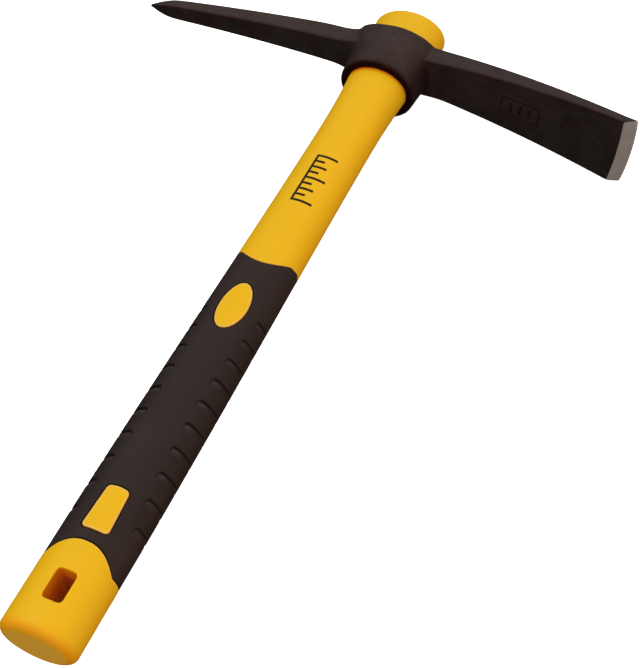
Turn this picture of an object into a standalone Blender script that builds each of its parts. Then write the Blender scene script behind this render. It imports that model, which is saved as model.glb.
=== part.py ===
"""A small one-hand pick-mattock, lying on its side.

The handle runs along +Y from its butt to the head. The pick points to -X,
the adze to +X, and +Z is square to the plane of the head. Every mesh is
drawn with the handle's axis along Y and the butt at y = 0, and an empty
moves the whole tool so that the middle of its underside is at the origin.
"""

import math

import bmesh
import bpy
import numpy as np

# Clearance between pieces that touch
FIT_GAP = 0.0003

# Handle, with distances measured from the butt along +Y
HANDLE_LENGTH = 0.380
BUTT_WIDTH = 0.0294
BELLY_WIDTH = 0.0301
BELLY_DISTANCE = 0.068
WAIST_WIDTH = 0.0281
WAIST_DISTANCE = 0.262
NECK_WIDTH = 0.030
NECK_POWER = 2
OVAL_RATIO = 0.76
BUTT_ROUNDING = 0.0032

# Flare that holds the head, and how it meets the eye
FLARE_WIDTH = 0.0388
FLARE_THICKNESS = 0.0275
FLARE_ROUNDING = 0.0037
FLARE_LEAD = 0.002
HANDLE_PROUD = 0.0246

# Hang slot through the butt
SLOT_START = 0.0124
SLOT_LENGTH = 0.0119
SLOT_WIDTH = 0.0076
SLOT_CORNER = 0.0016

# Rubber grip and the recess that it fills
GRIP_START = 0.0297
GRIP_LENGTH = 0.1578
RECESS_DEPTH = 0.0026
GRIP_SETBACK = 0.0003
TONGUE_HEIGHT = 0.0066
TONGUE_WIDTH = 0.0258
TONGUE_POWER = 2.4
DIP_DEPTH = 0.0062
DIP_WIDTH = 0.0232

# Raised islands of the jacket that show through the grip
OVAL_CENTRE = 0.1546
OVAL_LENGTH = 0.0262
OVAL_WIDTH = 0.0124
PLATE_START = 0.0415
PLATE_LENGTH = 0.0182
PLATE_WIDE_END = 0.0108
PLATE_NARROW_END = 0.0086
PLATE_CORNER = 0.0015

# Scooped grooves in the grip
SCOOP_COUNT = 10
SCOOP_FIRST = 0.0493
SCOOP_PITCH = 0.01152
SCOOP_LENGTH = 0.0065
SCOOP_DEPTH = 0.0009
SCOOP_INNER_MIDDLE = 0.0072
SCOOP_INNER_END = 0.0112
SCOOP_OUTER_ANGLE = math.radians(8)

# Fibreglass rod inside the jacket
CORE_DIAMETER = 0.0122
CORE_TOP_COVER = 0.008
CORE_CHAMFER = 0.0006

# Collar of the head, an oval ring that widens upwards and whose rim rises towards the arms
COLLAR_HEIGHT = 0.0302
COLLAR_BOTTOM_WIDTH = 0.0396
COLLAR_BOTTOM_THICKNESS = 0.0326
COLLAR_TOP_WIDTH = 0.044
COLLAR_TOP_THICKNESS = 0.0368
COLLAR_ROUNDING = 0.0016
RIM_RISE_START = 0.0092
PICK_RIM_RISE = 0.0049
ADZE_RIM_RISE = 0.0022

# Pick arm, a square bar that narrows and ends in a point
PICK_REACH = 0.1338
PICK_POINT_LENGTH = 0.0158
PICK_ROOT_WIDTH = 0.0165
PICK_ROOT_HEIGHT = 0.0161
PICK_SHOULDER_WIDTH = 0.0077
PICK_SHOULDER_HEIGHT = 0.0075
PICK_TIP_WIDTH = 0.001
PICK_CORNER = 0.0012
PICK_BELOW_RIM = 0.0017
PICK_DROP = 0.0117
PICK_ARCH_POWER = 1.9

# Adze arm, a flat blade that widens to a bevelled cutting edge
ADZE_REACH = 0.1282
ADZE_ROOT_WIDTH = 0.0148
ADZE_EDGE_WIDTH = 0.0371
ADZE_SPREAD_POWER = 0.8
ADZE_ROOT_HEIGHT = 0.0142
ADZE_END_HEIGHT = 0.0053
ADZE_CORNER = 0.001
ADZE_BELOW_RIM = 0.003
ADZE_DROP = 0.0224
ADZE_ARCH_POWER = 1.75
BEVEL_LENGTH = 0.006
EDGE_LAND = 0.0005
EDGE_BOW = 0.0014
EDGE_BOW_RUN = 0.024

# Fillets where both arms leave the collar
ROOT_OVERLAP = 0.0012
ROOT_SPREAD = 0.0026
ROOT_RUN = 0.007
ROOT_FADE_POWER = 2.5

# Smoothness of round and curved forms
OVAL_SIDES = 64
WINDOW_SIDES = 40
CUT_OFFSET = 0.5
ROD_SIDES = 32
CORNER_STEPS = 4
ROUNDING_STEPS = 5
SHAFT_STEPS = 18
FLARE_STEPS = 5
SLEEVE_STEPS = 17
SCOOP_STEPS = 6
ROOT_STEPS = 5
PICK_STEPS = 8
ADZE_STEPS = 10

COLLAR_TOP = HANDLE_LENGTH - HANDLE_PROUD
COLLAR_BOTTOM = COLLAR_TOP - COLLAR_HEIGHT
FLARE_START = COLLAR_BOTTOM - FLARE_LEAD
GRIP_END = GRIP_START + GRIP_LENGTH
SLOT_END = SLOT_START + SLOT_LENGTH
BEYOND = 0.003


def clear_scene():
    """Remove every object that the file opened with."""
    for item in list(bpy.data.objects):
        bpy.data.objects.remove(item, do_unlink=True)


def make_material(name, colour, roughness, metallic):
    """A Principled material with one colour."""
    material = bpy.data.materials.new(name)
    material.use_nodes = True
    shader = material.node_tree.nodes["Principled BSDF"]
    shader.inputs["Base Color"].default_value = (*colour, 1.0)
    shader.inputs["Roughness"].default_value = roughness
    shader.inputs["Metallic"].default_value = metallic
    return material


def finish_object(name, form, material=None):
    """Turn a bmesh into a named object, with its faces turned outwards."""
    bmesh.ops.recalc_face_normals(form, faces=form.faces)
    mesh = bpy.data.meshes.new(name)
    form.to_mesh(mesh)
    form.free()
    thing = bpy.data.objects.new(name, mesh)
    bpy.context.collection.objects.link(thing)
    mesh.shade_smooth()
    mesh.set_sharp_from_angle(angle=math.radians(35))
    if material:
        mesh.materials.append(material)
    return thing


def hide_cutter(thing):
    """Mark an object that only cuts or joins others."""
    thing.hide_render = True
    thing.display_type = "WIRE"
    return thing


def boolean(target, tool, operation):
    """Cut a tool from a target, or join it on, with a live modifier."""
    step = target.modifiers.new(f"{operation.lower()} {tool.name}", "BOOLEAN")
    step.operation = operation
    step.object = tool


def loft(name, rings, material=None):
    """Skin closed rings of equal count and cap both ends."""
    form = bmesh.new()
    loops = [[form.verts.new(point) for point in ring] for ring in rings]
    count = len(loops[0])
    for lower, upper in zip(loops[:-1], loops[1:]):
        for i in range(count):
            j = (i + 1) % count
            form.faces.new((lower[i], lower[j], upper[j], upper[i]))
    form.faces.new(loops[0])
    form.faces.new(loops[-1])
    return finish_object(name, form, material)


def oval_ring(y, width, thickness):
    """Points of an ellipse across the handle at one distance from the butt."""
    angles = [2 * math.pi * i / OVAL_SIDES for i in range(OVAL_SIDES)]
    return [(width / 2 * math.cos(a), y, thickness / 2 * math.sin(a)) for a in angles]


def prism(name, outline):
    """A solid with an outline in XY that passes right through the handle."""
    half = max(FLARE_THICKNESS, FLARE_WIDTH)
    rings = [[(x, y, z) for x, y in outline] for z in (-half, half)]
    return hide_cutter(loft(name, rings))


def rounded_outline(corners, radius):
    """A convex polygon whose corners are replaced by arcs."""
    points = []
    count = len(corners)
    for i in range(count):
        corner = np.array(corners[i])
        before = np.array(corners[i - 1]) - corner
        after = np.array(corners[(i + 1) % count]) - corner
        before /= np.linalg.norm(before)
        after /= np.linalg.norm(after)
        half_angle = math.acos(np.clip(before @ after, -1, 1)) / 2
        middle = (before + after) / np.linalg.norm(before + after)
        centre = corner + middle * radius / math.sin(half_angle)
        start = corner + before * radius / math.tan(half_angle) - centre
        end = corner + after * radius / math.tan(half_angle) - centre
        turn = math.pi - 2 * half_angle
        for step in range(CORNER_STEPS + 1):
            share = step / CORNER_STEPS
            first = math.sin((1 - share) * turn) / math.sin(turn)
            second = math.sin(share * turn) / math.sin(turn)
            points.append(tuple(centre + first * start + second * end))
    return points


def ease(share):
    """A smooth step from 0 to 1."""
    return (1 - math.cos(math.pi * min(max(share, 0.0), 1.0))) / 2


def shaft_width(y):
    """Width of the jacket below the flare, blended between its stations."""
    if y < BELLY_DISTANCE:
        return BUTT_WIDTH + (BELLY_WIDTH - BUTT_WIDTH) * ease(y / BELLY_DISTANCE)
    if y < WAIST_DISTANCE:
        share = (y - BELLY_DISTANCE) / (WAIST_DISTANCE - BELLY_DISTANCE)
        return BELLY_WIDTH + (WAIST_WIDTH - BELLY_WIDTH) * ease(share)
    share = (y - WAIST_DISTANCE) / (FLARE_START - WAIST_DISTANCE)
    return WAIST_WIDTH + (NECK_WIDTH - WAIST_WIDTH) * share ** NECK_POWER


def handle_section(y):
    """Width and thickness of the jacket's outside at one distance."""
    if y <= FLARE_START:
        width = shaft_width(y)
        return width, width * OVAL_RATIO
    share = (y - FLARE_START) / (HANDLE_LENGTH - FLARE_ROUNDING - FLARE_START)
    width = NECK_WIDTH + (FLARE_WIDTH - NECK_WIDTH) * share
    thin = NECK_WIDTH * OVAL_RATIO
    thickness = thin + (FLARE_THICKNESS - thin) * share
    return width, thickness


def offset_ring(y, growth):
    """A ring of the handle's section, grown or shrunk all round."""
    width, thickness = handle_section(y)
    return oval_ring(y, width + 2 * growth, thickness + 2 * growth)


def rounded_end(y_end, inward, radius, section):
    """Rings of a rounded edge, from the flat end face inwards."""
    rings = []
    width, thickness = section
    for step in range(ROUNDING_STEPS + 1):
        angle = math.pi / 2 * step / ROUNDING_STEPS
        shrink = 2 * radius * (1 - math.sin(angle))
        y = y_end + inward * radius * (1 - math.cos(angle))
        rings.append(oval_ring(y, width - shrink, thickness - shrink))
    return rings


def handle_blank(material):
    """The jacket's outside, before the recess, slot and bore are cut."""
    rings = rounded_end(0, 1, BUTT_ROUNDING, handle_section(BUTT_ROUNDING))
    for y in np.linspace(BUTT_ROUNDING, FLARE_START, SHAFT_STEPS + 1)[1:]:
        rings.append(offset_ring(y, 0))
    for y in np.linspace(FLARE_START, HANDLE_LENGTH - FLARE_ROUNDING, FLARE_STEPS + 1)[1:-1]:
        rings.append(offset_ring(y, 0))
    top = handle_section(HANDLE_LENGTH - FLARE_ROUNDING)
    rings += reversed(rounded_end(HANDLE_LENGTH, -1, FLARE_ROUNDING, top))
    return loft("handle_jacket", rings, material)


def tongue_edge(x):
    """Where the grip starts: an arch round the butt's tongue."""
    return GRIP_START + TONGUE_HEIGHT * max(0.0, 1 - abs(2 * x / TONGUE_WIDTH) ** TONGUE_POWER)


def dip_edge(x):
    """Where the grip ends: a dip on the broad faces, level at the sides."""
    return GRIP_END - DIP_DEPTH * max(0.0, 1 - (2 * x / DIP_WIDTH) ** 2)


def sleeve(name, inner_growth, outer_growth, end_gap, material=None):
    """A tube round the handle between the tongue edge and the dip edge.

    Its columns stand half a step off the jacket's, so that no edge of the
    recess lies along an edge of the jacket.
    """
    form = bmesh.new()
    shells = []
    for growth in (inner_growth, outer_growth):
        shell = []
        for i in range(OVAL_SIDES):
            angle = 2 * math.pi * (i + CUT_OFFSET) / OVAL_SIDES
            across = math.cos(angle) * shaft_width(GRIP_START) / 2
            low = tongue_edge(across) + end_gap
            high = dip_edge(math.cos(angle) * shaft_width(GRIP_END) / 2) - end_gap
            column = []
            for y in np.linspace(low, high, SLEEVE_STEPS + 1):
                width, thickness = handle_section(y)
                x = (width / 2 + growth) * math.cos(angle)
                z = (thickness / 2 + growth) * math.sin(angle)
                column.append(form.verts.new((x, y, z)))
            shell.append(column)
        shells.append(shell)
    inner, outer = shells
    for i in range(OVAL_SIDES):
        j = (i + 1) % OVAL_SIDES
        for shell in shells:
            for k in range(SLEEVE_STEPS):
                corners = (shell[i][k], shell[j][k], shell[j][k + 1], shell[i][k + 1])
                form.faces.new(corners)
        for k in (0, -1):
            form.faces.new((inner[i][k], inner[j][k], outer[j][k], outer[i][k]))
    return finish_object(name, form, material)


def oval_window(name, growth):
    """The oval island's outline, through both broad faces."""
    outline = []
    for i in range(WINDOW_SIDES):
        angle = 2 * math.pi * (i + CUT_OFFSET) / WINDOW_SIDES
        x = (OVAL_WIDTH / 2 + growth) * math.cos(angle)
        y = OVAL_CENTRE + (OVAL_LENGTH / 2 + growth) * math.sin(angle)
        outline.append((x, y))
    return prism(name, outline)


def plate_window(name, growth):
    """The tapered island's outline, wider at the end near the butt."""
    wide = PLATE_WIDE_END / 2 + growth
    narrow = PLATE_NARROW_END / 2 + growth
    low = PLATE_START - growth
    high = PLATE_START + PLATE_LENGTH + growth
    corners = [(-wide, low), (wide, low), (narrow, high), (-narrow, high)]
    return prism(name, rounded_outline(corners, PLATE_CORNER + growth))


def recess_cutter():
    """What the grip's recess takes out of the jacket, islands left standing."""
    cutter = hide_cutter(sleeve("recess_cutter", -RECESS_DEPTH, BEYOND, 0))
    boolean(cutter, oval_window("oval_island", 0), "DIFFERENCE")
    boolean(cutter, plate_window("plate_island", 0), "DIFFERENCE")
    return cutter


def slot_cutter():
    """The hang slot through the butt."""
    half = SLOT_WIDTH / 2
    corners = [(-half, SLOT_START), (half, SLOT_START), (half, SLOT_END), (-half, SLOT_END)]
    return prism("slot_cutter", rounded_outline(corners, SLOT_CORNER))


def round_bar(name, stations, material=None):
    """A round bar along the handle's axis, from pairs of distance and diameter."""
    rings = []
    turns = [2 * math.pi * i / ROD_SIDES for i in range(ROD_SIDES)]
    for y, diameter in stations:
        rings.append([(diameter / 2 * math.cos(a), y, diameter / 2 * math.sin(a)) for a in turns])
    return loft(name, rings, material)


def make_core(material):
    """The rod, from just inside the slot's far wall to under the top, with chamfered ends."""
    low = SLOT_END + FIT_GAP
    top = HANDLE_LENGTH - CORE_TOP_COVER
    small = CORE_DIAMETER - 2 * CORE_CHAMFER
    stations = [(low, small), (low + CORE_CHAMFER, CORE_DIAMETER)]
    stations += [(top - CORE_CHAMFER, CORE_DIAMETER), (top, small)]
    return round_bar("fibreglass_core", stations, material)


def make_jacket(material):
    """The moulded jacket with its recess, slot and the bore for the rod."""
    jacket = handle_blank(material)
    boolean(jacket, recess_cutter(), "DIFFERENCE")
    boolean(jacket, slot_cutter(), "DIFFERENCE")
    bore_top = HANDLE_LENGTH - CORE_TOP_COVER + FIT_GAP
    bore = CORE_DIAMETER + 2 * FIT_GAP
    cutter = round_bar("core_bore", [(SLOT_END - FIT_GAP, bore), (bore_top, bore)])
    boolean(jacket, hide_cutter(cutter), "DIFFERENCE")
    return jacket


def scoop_inner_angle(y):
    """Angle round the handle where a scoop's inner end lies."""
    middle = SCOOP_FIRST + SCOOP_PITCH * (SCOOP_COUNT - 1) / 2
    share = min(abs(y - middle) / (middle - SCOOP_FIRST), 1.0)
    x = SCOOP_INNER_MIDDLE + (SCOOP_INNER_END - SCOOP_INNER_MIDDLE) * share ** 2
    return math.acos(min(x / (shaft_width(y) / 2), 0.98))


def add_scoop(form, y_edge, side, face):
    """One scoop: deep at its edge near the head, rising towards the butt."""
    inner = scoop_inner_angle(y_edge)
    tops, bottoms = [], []
    for i in range(SCOOP_STEPS + 1):
        share = i / SCOOP_STEPS
        angle = SCOOP_OUTER_ANGLE + (inner - SCOOP_OUTER_ANGLE) * share
        swell = 0.25 + 0.75 * math.sin(math.pi * share)
        top_row, bottom_row = [], []
        for y, depth in ((y_edge, SCOOP_DEPTH * swell), (y_edge - SCOOP_LENGTH * swell, -FIT_GAP)):
            width, thickness = handle_section(y)
            for row, growth in ((top_row, BEYOND), (bottom_row, -GRIP_SETBACK - depth)):
                x = side * (width / 2 + growth) * math.cos(angle)
                z = face * (thickness / 2 + growth) * math.sin(angle)
                row.append(form.verts.new((x, y, z)))
        tops.append(top_row)
        bottoms.append(bottom_row)
    for i in range(SCOOP_STEPS):
        for rows in (tops, bottoms):
            form.faces.new((rows[i][0], rows[i][1], rows[i + 1][1], rows[i + 1][0]))
        for k in (0, 1):
            form.faces.new((tops[i][k], tops[i + 1][k], bottoms[i + 1][k], bottoms[i][k]))
    for i in (0, -1):
        form.faces.new((tops[i][0], tops[i][1], bottoms[i][1], bottoms[i][0]))


def scoop_cutter():
    """All the scoops: a row on each side of both broad faces."""
    form = bmesh.new()
    for i in range(SCOOP_COUNT):
        y = SCOOP_FIRST + SCOOP_PITCH * i
        for side in (1, -1):
            for face in (1, -1):
                add_scoop(form, y, side, face)
    return hide_cutter(finish_object("scoop_cutter", form))


def make_grip(material):
    """The rubber sleeve with its windows and scoops."""
    inner = -RECESS_DEPTH + FIT_GAP
    grip = sleeve("rubber_grip", inner, -GRIP_SETBACK, FIT_GAP, material)
    boolean(grip, oval_window("oval_window", FIT_GAP), "DIFFERENCE")
    boolean(grip, plate_window("plate_window", FIT_GAP), "DIFFERENCE")
    boolean(grip, scoop_cutter(), "DIFFERENCE")
    return grip


def rim_rise(angle):
    """How much higher the collar's rim is at this angle than over the broad faces."""
    half = COLLAR_TOP_WIDTH / 2
    across = math.cos(angle) * half
    share = (abs(across) - RIM_RISE_START) / (half - RIM_RISE_START)
    return (PICK_RIM_RISE if across < 0 else ADZE_RIM_RISE) * ease(share)


def make_collar(material):
    """The collar as a solid oval plug with a saddle-shaped rim, before the eye is cut."""
    bottom = (COLLAR_BOTTOM_WIDTH, COLLAR_BOTTOM_THICKNESS)
    top = (COLLAR_TOP_WIDTH, COLLAR_TOP_THICKNESS)
    rings = rounded_end(COLLAR_BOTTOM, 1, COLLAR_ROUNDING, bottom)
    rim = list(reversed(rounded_end(COLLAR_TOP, -1, COLLAR_ROUNDING, top)))
    rim.append(oval_ring(COLLAR_TOP, COLLAR_TOP_WIDTH / 2, COLLAR_TOP_THICKNESS / 2))
    for ring in rim:
        risen = []
        for i, (x, y, z) in enumerate(ring):
            risen.append((x, y + rim_rise(2 * math.pi * i / OVAL_SIDES), z))
        rings.append(risen)
    return loft("head_forging", rings, material)


def root_spread(distance):
    """Extra size of an arm near the collar, fading out as a fillet."""
    share = max(0.0, 1 - distance / ROOT_RUN)
    return ROOT_SPREAD * share ** ROOT_FADE_POWER


def arm_start(width):
    """How far from the eye's axis an arm of this width leaves the collar."""
    share = min(width / COLLAR_TOP_THICKNESS, 0.95)
    return COLLAR_TOP_WIDTH / 2 * math.sqrt(1 - share ** 2) - ROOT_OVERLAP


def arm_section(x, y, width, height, corner, bow=0.0, front_cut=0.0):
    """A rounded rectangle across an arm, back row first, then front row.

    The back row faces the handle's top and the front row faces its butt.
    bow moves the middle of the section outwards along x, and front_cut
    moves the front row towards the back, as a bevel does.
    """
    half, high = width / 2, height / 2
    corner = min(corner, half * 0.8, high * 0.8)
    row = []
    for step in range(3):
        angle = math.pi / 4 * step
        z = half - corner * (1 - math.cos(angle))
        row.append((z, high - corner * (1 - math.sin(angle))))
    for share in (0.5, 0.0):
        row.append(((half - corner) * share, high))
    row += [(-z, rise) for z, rise in reversed(row[:-1])]
    points = []
    for z, rise in row:
        points.append((x + math.copysign(bow, x) * (1 - (z / half) ** 2), y + rise, z))
    for z, rise in reversed(row):
        front = min(-rise + front_cut, rise - EDGE_LAND) if front_cut else -rise
        points.append((x + math.copysign(bow, x) * (1 - (z / half) ** 2), y + front, z))
    return points


def arm_solid(name, rings):
    """Skin an arm's sections, closing the ends with strips of quads."""
    form = bmesh.new()
    loops = [[form.verts.new(point) for point in ring] for ring in rings]
    count = len(loops[0])
    for lower, upper in zip(loops[:-1], loops[1:]):
        for i in range(count):
            j = (i + 1) % count
            form.faces.new((lower[i], lower[j], upper[j], upper[i]))
    for loop in (loops[0], loops[-1]):
        for i in range(count // 2 - 1):
            form.faces.new((loop[i], loop[i + 1], loop[count - 2 - i], loop[count - 1 - i]))
    return hide_cutter(finish_object(name, form))


def arch(drop, reach, power, distance):
    """How far an arm's centre line has dropped towards the butt."""
    return drop * (distance / reach) ** power


def make_pick():
    """The pick arm: a square bar, then a four-sided point."""
    shoulder = PICK_REACH - PICK_POINT_LENGTH
    start = arm_start(PICK_ROOT_WIDTH)
    centre = COLLAR_TOP - PICK_BELOW_RIM
    rings = []
    near_root = np.linspace(start, start + ROOT_RUN, ROOT_STEPS + 1)
    beyond_root = np.linspace(start + ROOT_RUN, shoulder, PICK_STEPS + 1)[1:]
    for distance in (*near_root, *beyond_root):
        share = distance / shoulder
        spread = root_spread(distance - start)
        width = PICK_ROOT_WIDTH + (PICK_SHOULDER_WIDTH - PICK_ROOT_WIDTH) * share
        height = PICK_ROOT_HEIGHT + (PICK_SHOULDER_HEIGHT - PICK_ROOT_HEIGHT) * share
        y = centre - arch(PICK_DROP, PICK_REACH, PICK_ARCH_POWER, distance)
        wide, high = width + 2 * spread, height + spread
        rings.append(arm_section(-distance, y - spread / 2, wide, high, PICK_CORNER))
    for share in (0.5, 1.0):
        distance = shoulder + PICK_POINT_LENGTH * share
        width = PICK_SHOULDER_WIDTH + (PICK_TIP_WIDTH - PICK_SHOULDER_WIDTH) * share
        height = PICK_SHOULDER_HEIGHT + (PICK_TIP_WIDTH - PICK_SHOULDER_HEIGHT) * share
        y = centre - arch(PICK_DROP, PICK_REACH, PICK_ARCH_POWER, distance)
        rings.append(arm_section(-distance, y, width, height, PICK_CORNER))
    return arm_solid("pick_arm", rings)


def make_adze():
    """The adze arm: a blade that widens, thins and ends in a bevel."""
    start = arm_start(ADZE_ROOT_WIDTH)
    edge = ADZE_REACH - EDGE_BOW
    heel = edge - BEVEL_LENGTH
    centre = COLLAR_TOP - ADZE_BELOW_RIM
    rings = []
    near_root = np.linspace(start, start + ROOT_RUN, ROOT_STEPS + 1)
    beyond_root = np.linspace(start + ROOT_RUN, heel, ADZE_STEPS + 1)[1:]
    for distance in (*near_root, *beyond_root, edge):
        share = distance / edge
        spread = root_spread(distance - start)
        width = ADZE_ROOT_WIDTH + (ADZE_EDGE_WIDTH - ADZE_ROOT_WIDTH) * share ** ADZE_SPREAD_POWER
        thinning = min(distance / heel, 1.0)
        height = ADZE_ROOT_HEIGHT + (ADZE_END_HEIGHT - ADZE_ROOT_HEIGHT) * thinning
        y = centre - arch(ADZE_DROP, edge, ADZE_ARCH_POWER, distance)
        bow = EDGE_BOW * max(0.0, 1 - (edge - distance) / EDGE_BOW_RUN)
        cut = ADZE_END_HEIGHT - EDGE_LAND if distance == edge else 0.0
        section = arm_section(
            distance, y - spread / 2, width + 2 * spread, height + spread, ADZE_CORNER, bow, cut
        )
        rings.append(section)
    return arm_solid("adze_arm", rings)


def eye_cutter():
    """The tapered eye, which follows the handle's flare with clearance."""
    low = COLLAR_BOTTOM - BEYOND
    high = COLLAR_TOP + PICK_ROOT_HEIGHT
    rings = [offset_ring(y, FIT_GAP) for y in (low, FLARE_START, COLLAR_BOTTOM, high)]
    return hide_cutter(loft("eye_cutter", rings))


def make_head(material):
    """The forging: collar and both arms joined, then the eye cut."""
    head = make_collar(material)
    boolean(head, make_pick(), "UNION")
    boolean(head, make_adze(), "UNION")
    boolean(head, eye_cutter(), "DIFFERENCE")
    return head


def build():
    """Make every piece and set the tool down on its side."""
    clear_scene()
    yellow = make_material("moulded_yellow", (0.80, 0.46, 0.02), 0.35, 0.0)
    black_rubber = make_material("black_rubber", (0.022, 0.019, 0.018), 0.6, 0.0)
    black_coat = make_material("black_powder_coat", (0.020, 0.018, 0.017), 0.5, 0.0)
    glass_rod = make_material("fibreglass", (0.70, 0.62, 0.42), 0.5, 0.0)
    make_head(black_coat)
    make_jacket(yellow)
    make_core(glass_rod)
    make_grip(black_rubber)
    tool = bpy.data.objects.new("mattock", None)
    bpy.context.collection.objects.link(tool)
    widest = max(ADZE_EDGE_WIDTH, COLLAR_TOP_THICKNESS, COLLAR_BOTTOM_THICKNESS)
    tool.location = ((PICK_REACH - ADZE_REACH) / 2, -HANDLE_LENGTH / 2, widest / 2)
    for thing in list(bpy.data.objects):
        if thing is not tool:
            thing.parent = tool


build()
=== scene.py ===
# %% [markdown]
# # A one-hand pick-mattock
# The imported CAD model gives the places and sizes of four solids: the forged
# head, the moulded handle, the rod inside it and the rubber grip. This lesson
# dresses them. Each solid gets a finer piece that stands for it, with the soft
# edges, scooped grooves and finishes that the real tool has.

import math

import bmesh
import bpy
import numpy as np
from mathutils import Matrix, Vector


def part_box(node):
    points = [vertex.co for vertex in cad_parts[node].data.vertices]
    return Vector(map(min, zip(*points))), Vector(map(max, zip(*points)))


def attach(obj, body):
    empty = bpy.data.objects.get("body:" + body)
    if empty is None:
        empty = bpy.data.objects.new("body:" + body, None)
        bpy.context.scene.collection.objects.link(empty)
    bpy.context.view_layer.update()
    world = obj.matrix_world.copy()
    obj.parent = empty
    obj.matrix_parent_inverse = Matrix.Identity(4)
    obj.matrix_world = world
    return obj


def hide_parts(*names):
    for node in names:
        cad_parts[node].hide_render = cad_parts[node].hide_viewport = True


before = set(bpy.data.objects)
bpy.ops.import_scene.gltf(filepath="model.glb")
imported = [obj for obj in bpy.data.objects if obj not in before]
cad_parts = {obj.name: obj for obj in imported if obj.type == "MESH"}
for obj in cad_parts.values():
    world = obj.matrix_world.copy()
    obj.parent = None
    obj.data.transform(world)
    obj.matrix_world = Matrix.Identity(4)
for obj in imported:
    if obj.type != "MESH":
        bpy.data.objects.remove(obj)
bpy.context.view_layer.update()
print("CAD nodes:", ", ".join(sorted(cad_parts)))

# %% [markdown]
# ## Working in tool coordinates
# Every shape here is worked out in millimetres, with the handle's axis along y,
# the butt at y = 0 and the broad faces turned to +z and -z. That keeps the
# formulas short. The jacket's box in the CAD says where this frame lies, and
# one function converts a finished array of points to metres.

# %% The tool's frame
MILLIMETRE = 0.001

jacket_low, jacket_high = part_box("handle_jacket")
TOOL_ORIGIN = np.array(
    [(jacket_low.x + jacket_high.x) / 2, jacket_low.y, (jacket_low.z + jacket_high.z) / 2]
)


def to_metres(points):
    """Tool coordinates in millimetres to the shared frame: scale, then shift."""
    return np.asarray(points, float) * MILLIMETRE + TOOL_ORIGIN


print("tool origin in the frame:", TOOL_ORIGIN.round(5).tolist())


# %% Meshes from arrays
def make_piece(name, points, faces, finish, outwards=True):
    """A smooth mesh object from an array of points, a list of faces and a material."""
    mesh = bpy.data.meshes.new(name)
    mesh.from_pydata(to_metres(points).tolist(), [], [list(map(int, face)) for face in faces])
    if outwards:
        form = bmesh.new()
        form.from_mesh(mesh)
        bmesh.ops.recalc_face_normals(form, faces=form.faces)
        form.to_mesh(mesh)
        form.free()
    mesh.shade_smooth()
    mesh.materials.append(finish)
    piece = bpy.data.objects.new(name, mesh)
    bpy.context.scene.collection.objects.link(piece)
    return piece


def tag_points(piece, label, values):
    """Give each point of a piece a number that its material can read."""
    layer = piece.data.attributes.new(label, "FLOAT", "POINT")
    layer.data.foreach_set("value", np.ravel(values))


def grid_faces(rows, columns, wrap_columns=True, first=0):
    """Quads of a grid of points that is stored row after row."""
    index = first + np.arange(rows * columns).reshape(rows, columns)
    if wrap_columns:
        index = np.hstack([index, index[:, :1]])
    corners = (index[:-1, :-1], index[:-1, 1:], index[1:, 1:], index[1:, :-1])
    return np.stack([c.ravel() for c in corners], axis=1)


def border(block):
    """The indices round the edge of a block of points, in order."""
    return np.concatenate([block[0, :-1], block[:-1, -1], block[-1, :0:-1], block[:0:-1, 0]])


print("a border of 3 x 3 points:", border(np.arange(9).reshape(3, 3)).tolist())


# %% Steps and rounded edges
def climb(value, start=0.0, end=1.0):
    """A straight step, from 0 at the start to 1 at the end."""
    return np.clip((value - start) / (end - start), 0, 1)


def ease(value, start=0.0, end=1.0):
    """A smooth step: half of one minus the cosine of a half turn."""
    return (1 - np.cos(np.pi * climb(value, start, end))) / 2


def roundover(distance, radius):
    """Depth of a quarter-round edge at a distance in from the sharp corner."""
    inside = np.clip(radius - distance, 0, radius)
    return radius - np.sqrt(radius**2 - inside**2)


print("smooth step at a quarter:", round(float(ease(0.25)), 3))

# %% [markdown]
# ## The handle's section
# Moulded handles are ovals whose width drifts by a few tenths of a millimetre:
# a belly under the palm, a waist, a neck, and a flare that wedges the head on.
# The width is a sum of smooth steps, so one line of numpy serves every surface
# that lies on the handle: jacket, grip, islands and print.

# %% Section of the handle
HANDLE_LENGTH = 380.0
BUTT_WIDTH, BELLY_WIDTH, WAIST_WIDTH, NECK_WIDTH = 29.4, 30.1, 28.1, 31.2
BELLY_Y, WAIST_Y, FLARE_Y = 68.0, 262.0, 323.2
OVAL_RATIO = 0.76
FLARE_WIDTH, FLARE_THICKNESS, FLARE_ROUNDING = 38.8, 27.5, 3.7


def half_axes(y):
    """Half width and half thickness: two smooth steps, a cubic, then a cone."""
    belly = (BELLY_WIDTH - BUTT_WIDTH) * ease(y, 0, BELLY_Y)
    waist = (WAIST_WIDTH - BELLY_WIDTH) * ease(y, BELLY_Y, WAIST_Y)
    neck = (NECK_WIDTH - WAIST_WIDTH) * climb(y, WAIST_Y, FLARE_Y) ** 3
    cone = climb(y, FLARE_Y, HANDLE_LENGTH - FLARE_ROUNDING)
    width = BUTT_WIDTH + belly + waist + neck
    thickness = width * OVAL_RATIO
    wide = width + (FLARE_WIDTH - NECK_WIDTH) * cone
    thick = thickness + (FLARE_THICKNESS - NECK_WIDTH * OVAL_RATIO) * cone
    return wide / 2, thick / 2


def on_oval(angle, y, inset=0.0, scale=1.0):
    """Points of the handle's section, shrunk by an inset and then scaled."""
    wide, thick = half_axes(y)
    x = (wide - inset) * scale * np.cos(angle)
    z = (thick - inset) * scale * np.sin(angle)
    return np.stack(np.broadcast_arrays(x, y, z), axis=-1)


def on_face(x, y, inset=0.0, face=1):
    """Points above (x, y) on a broad face: z from the ellipse's equation."""
    wide, thick = half_axes(y)
    share = np.clip(x / (wide - inset), -1, 1)
    z = face * (thick - inset) * np.sqrt(1 - share**2)
    return np.stack(np.broadcast_arrays(x, y, z), axis=-1)


print("half axes at the waist:", [round(float(v), 2) for v in half_axes(WAIST_Y)])

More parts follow.
